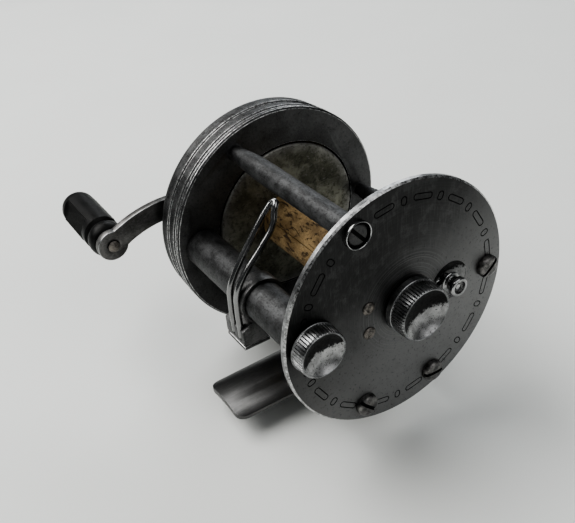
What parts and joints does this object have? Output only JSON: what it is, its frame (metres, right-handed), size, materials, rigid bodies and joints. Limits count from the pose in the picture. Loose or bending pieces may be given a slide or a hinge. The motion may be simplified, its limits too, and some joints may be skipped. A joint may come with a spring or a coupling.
{
  "type": "baitcasting reel",
  "caption": "Small multiplier reel: two round plates joined by pillars, cork arbor spool, worm-driven wire line guide, S-shaped double crank and a curved foot for a rod seat.",
  "frame": {"origin": "on the foot's flat underside, straight below the plates' axis and midway between the inner faces of the two side plates; the foot's centre line lies 2.3 mm from it towards the head", "axes": "+X along the spool axis towards the tail plate with the knurled caps, -Y towards the front where the line guide is, +Z away from the rod"},
  "size_m": [0.0835, 0.0834, 0.058],
  "materials": {
    "nickel": "aged nickel plate, mottled satin",
    "dark_nickel": "tarnished nickel plate, fine turned lines",
    "polished_nickel": "polished nickel plate",
    "steel": "plain turned steel",
    "brass": "machined brass",
    "cork": "natural cork, matt",
    "black_grip": "moulded hard rubber, worn gloss"
  },
  "bodies": {
    "frame": {"head_ring": "dark_nickel", "head_cover": "nickel", "gear_plate": "brass", "tail_plate": "dark_nickel", "top_pillar": "nickel", "rear_pillar": "nickel", "lower_rear_pillar": "nickel", "lower_front_pillar": "nickel", "foot": "polished_nickel", "foot_saddle": "nickel", "foot_screws": "steel", "tail_screws": "dark_nickel", "screw_cup": "polished_nickel", "ring_screws": "steel", "cover_screws": "nickel", "cover_posts": "brass", "worm_tube": "nickel", "idler_stud": "steel", "worm_bush": "nickel", "head_bush": "brass", "tail_bush": "brass", "handle_bush": "brass", "click_cup": "polished_nickel", "click_spring": "steel", "click_rivets": "nickel"},
    "spool": {"spool_shaft": "steel", "head_flange": "nickel", "tail_flange": "nickel", "upper_cork": "cork", "lower_cork": "cork", "line_pin": "polished_nickel", "spool_pinion": "brass", "click_wheel": "steel"},
    "crank": {"handle_shaft": "steel", "drive_gear": "brass", "crank_arm": "dark_nickel", "handle_nut": "nickel", "grip_pins": "steel"},
    "front_grip": {"front_grip": "black_grip"},
    "rear_grip": {"rear_grip": "black_grip"},
    "idler": {"idler_gear": "brass"},
    "worm": {"worm_shaft": "steel", "worm_gear": "brass"},
    "carriage": {"carriage": "nickel", "pawl_plate": "nickel", "line_guide": "polished_nickel"},
    "pawl": {"pawl": "brass"},
    "spool_cap": {"spool_cap": "polished_nickel"},
    "worm_cap": {"worm_cap": "polished_nickel"},
    "head_cap": {"head_cap": "polished_nickel"},
    "click_button": {"click_button": "polished_nickel"},
    "click_tongue": {"click_tongue": "steel"}
  },
  "joints": [
    {"name": "handle_turn", "type": "hinge", "parent": "frame", "child": "crank", "pos_m": [-0.02975, 0.0018, 0.015], "axis": [1, 0, 0], "continuous": true},
    {"name": "spool_spin", "type": "hinge", "parent": "frame", "child": "spool", "pos_m": [0, 0.0018, 0.027], "axis": [1, 0, 0], "continuous": true},
    {"name": "idler_spin", "type": "hinge", "parent": "frame", "child": "idler", "pos_m": [-0.0258, -0.00878, 0.03002], "axis": [1, 0, 0], "continuous": true},
    {"name": "worm_spin", "type": "hinge", "parent": "frame", "child": "worm", "pos_m": [0, -0.0201, 0.028], "axis": [1, 0, 0], "continuous": true},
    {"name": "carriage_slide", "type": "slide", "parent": "frame", "child": "carriage", "axis": [1, 0, 0], "range_m": [-0.0165, 0.0115]},
    {"name": "pawl_swivel", "type": "hinge", "parent": "carriage", "child": "pawl", "pos_m": [0.0019, -0.0201, 0.021], "axis": [0, 0, 1], "range_deg": [-25, 25]},
    {"name": "front_grip_spin", "type": "hinge", "parent": "crank", "child": "front_grip", "pos_m": [-0.045, -0.03576, 0.02845], "axis": [1, 0, 0], "continuous": true},
    {"name": "rear_grip_spin", "type": "hinge", "parent": "crank", "child": "rear_grip", "pos_m": [-0.045, 0.03936, 0.00155], "axis": [1, 0, 0], "continuous": true},
    {"name": "spool_cap_turn", "type": "hinge", "parent": "frame", "child": "spool_cap", "pos_m": [0.024, 0.0018, 0.027], "axis": [1, 0, 0], "range_deg": [-180, 180]},
    {"name": "worm_cap_turn", "type": "hinge", "parent": "frame", "child": "worm_cap", "pos_m": [0.024, -0.0201, 0.028], "axis": [1, 0, 0], "range_deg": [-180, 180]},
    {"name": "head_cap_turn", "type": "hinge", "parent": "frame", "child": "head_cap", "pos_m": [-0.031, 0.0018, 0.027], "axis": [1, 0, 0], "range_deg": [-180, 180]},
    {"name": "click_slide", "type": "slide", "parent": "frame", "child": "click_button", "axis": [0, -1, 0], "range_m": [0, 0.0014]},
    {"name": "click_flick", "type": "hinge", "parent": "click_button", "child": "click_tongue", "pos_m": [0.0194, 0.0123, 0.027], "axis": [1, 0, 0], "range_deg": [-12, 12]}
  ],
  "couplings": [
    {"joint": "spool_spin", "follows": "handle_turn", "ratio": -3},
    {"joint": "idler_spin", "follows": "handle_turn", "ratio": 1.125},
    {"joint": "worm_spin", "follows": "handle_turn", "ratio": -2.5714}
  ]
}
